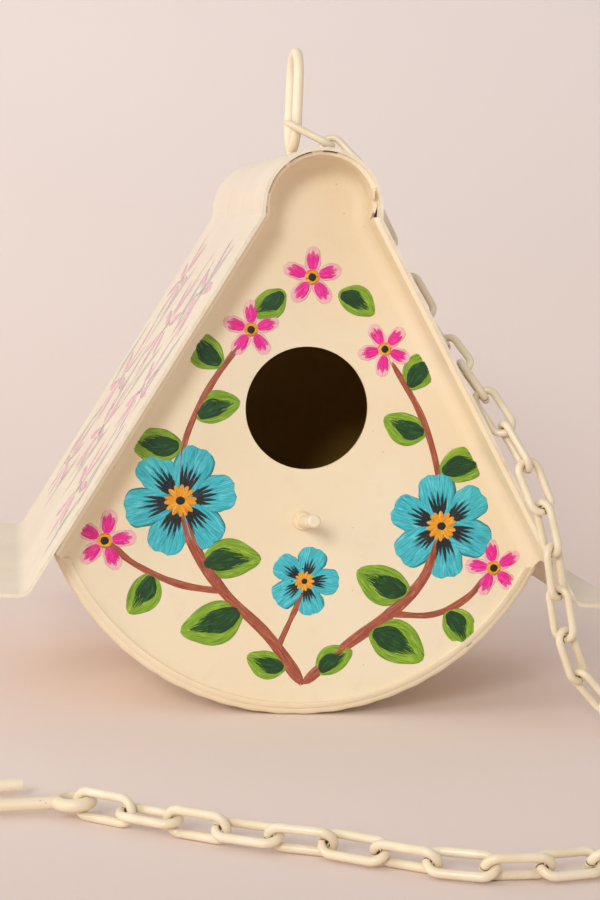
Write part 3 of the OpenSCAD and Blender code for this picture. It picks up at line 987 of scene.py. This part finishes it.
def chain(material):
    """Every link lies where its rigid solid lies, and turns with it."""
    joints = {j["child"]: Vector(j["pos_m"]) for j in frame["joints"]}
    for body in sorted(b for b in frame["bodies"] if b.startswith("link_")):
        node = frame["record"]["behaviour"]["bodies"][body][0]
        centre, way, flat = lie_of(nodes[node], joints[body])
        piece = welded_link(f"welded_{body}", centre, way, flat, material)
        outward(piece)
        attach(piece, body)
        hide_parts(node)


# ---------------------------------------------------------------- studio

FLOOR = tone(243, 226, 217)
# Painted shade for the floor nearest the camera
FLOOR_NEAR_SHADE = tone(228, 209, 200)
FLOOR_GRAIN = tone(232, 214, 206)
BACKDROP = tone(241, 232, 229)
ROOM = (1.0, 0.985, 0.975, 1.0)
ROOM_STRENGTH = 0.46
LENS = 125.58


def studio_floor():
    """A pale floor that sweeps up into the backdrop, which is clear from behind; painted shade
    darkens the floor towards the camera.
    """
    front, back, bend, top, half, steps = -1.6, 0.30, 0.35, 2.2, 2.6, 12
    profile = [(front, 0.0), (back, 0.0)]
    for turn in spread(0, math.pi / 2, steps)[1:]:
        profile.append((back + bend * math.sin(turn), bend * (1 - math.cos(turn))))
    profile.append((back + bend, top))
    corners = [(x, y, z) for y, z in profile for x in (-half, half)]
    faces = [(2 * i, 2 * i + 1, 2 * i + 3, 2 * i + 2) for i in range(len(profile) - 1)]
    paint = Paint("studio_paper")
    where = paint.place()
    along, height = paint.parts(where)[1:]
    grain = paint.noise(where, 3, 2)
    paper = paint.mix(height.step(0.0, 0.4), FLOOR, BACKDROP)
    # Painted shade: the floor darkens towards the camera
    paper = paint.mix(along.step(-0.15, -0.42), paper, FLOOR_NEAR_SHADE)
    colour = paint.mix(grain.step(0.3, 0.8) * 0.15, paper, FLOOR_GRAIN)
    rear = paint.node("ShaderNodeNewGeometry", out="Backfacing")
    material = paint.finish(colour, roughness=0.9, alpha=1 - rear)
    piece_of("studio_floor", corners, faces, material)


def lamp(name, place, size, power, colour, target=(0, 0, 0.11)):
    data = bpy.data.lights.new(name, "AREA")
    data.shape = "DISK"
    data.size = size
    data.energy = power
    data.color = colour
    light = bpy.data.objects.new(name, data)
    light.location = place
    aim = Vector(target) - Vector(place)
    light.rotation_euler = aim.to_track_quat("-Z", "Y").to_euler()
    bpy.context.scene.collection.objects.link(light)


def daylight():
    """Soft light from the left and above, and a pale room all round."""
    lamp("key", (-0.85, -2.0, 0.9), 0.6, 17.6, (1.0, 0.985, 0.955))
    lamp("window", (-1.9, -0.7, 0.8), 1.4, 16, (1.0, 0.99, 0.98))
    lamp("fill", (1.6, -1.8, 0.9), 1.6, 4, (1.0, 0.985, 0.98))
    world = bpy.data.worlds.new("room")
    world.use_nodes = True
    room = world.node_tree.nodes["Background"]
    room.inputs["Color"].default_value = ROOM
    room.inputs["Strength"].default_value = ROOM_STRENGTH
    bpy.context.scene.world = world


CAMERA_PLACE = (-0.1229, -0.9152, 0.1940)
CAMERA_PITCH = 0.105
CAMERA_YAW = 0.139
CAMERA_ROLL = 0.042


def camera():
    data = bpy.data.cameras.new("camera")
    data.sensor_fit = "HORIZONTAL"
    data.sensor_width = 36.0
    data.lens = LENS
    turn = (Matrix.Rotation(CAMERA_PITCH, 3, "X") @ Matrix.Rotation(CAMERA_YAW, 3, "Z")
            @ Matrix.Rotation(CAMERA_ROLL, 3, "Y"))
    right, ahead, up = turn
    axes = Matrix((right, up, -ahead)).transposed().to_4x4()
    view = bpy.data.objects.new("camera", data)
    view.matrix_world = Matrix.Translation(CAMERA_PLACE) @ axes
    bpy.context.scene.collection.objects.link(view)
    bpy.context.scene.camera = view


# ---------------------------------------------------------------- the whole

def dress(node, material):
    """Gives a solid its finish."""
    solid = nodes[node]
    for i in range(len(solid.material_slots)):
        solid.material_slots[i].material = material


camera()
studio_floor()
daylight()
# The roof's enamel carries painted shade: a darkened cream, and near-black behind the tear
dress("roof_sheet", enamel("roof_enamel", roof_edges, under_roof, ROOF_CREAM_SHADED, shade_behind_tear))
dress("front_pan", enamel("front_pan_enamel", pan_edges(-1), pan_inside(-1)))
dress("back_pan", enamel("back_pan_enamel", pan_edges(1), pan_inside(1)))
dress("bottom_sheet", enamel("bottom_enamel", bottom_edges, bottom_inside))
dress("perch", enamel("perch_enamel", perch_edges))
dress("hanging_loop", enamel("loop_enamel", loop_edges))
dress("chain_hook", enamel("hook_enamel", cream=CHAIN_CREAM))
zinc = galvanised("galvanised_steel")
for fastener in ("perch_washer", "loop_plate", "loop_nut"):
    dress(fastener, zinc)
seams()
front_painting()
roof_painting()
chain(chain_enamel("chain_enamel"))

bpy.context.scene.view_settings.view_transform = "Standard"
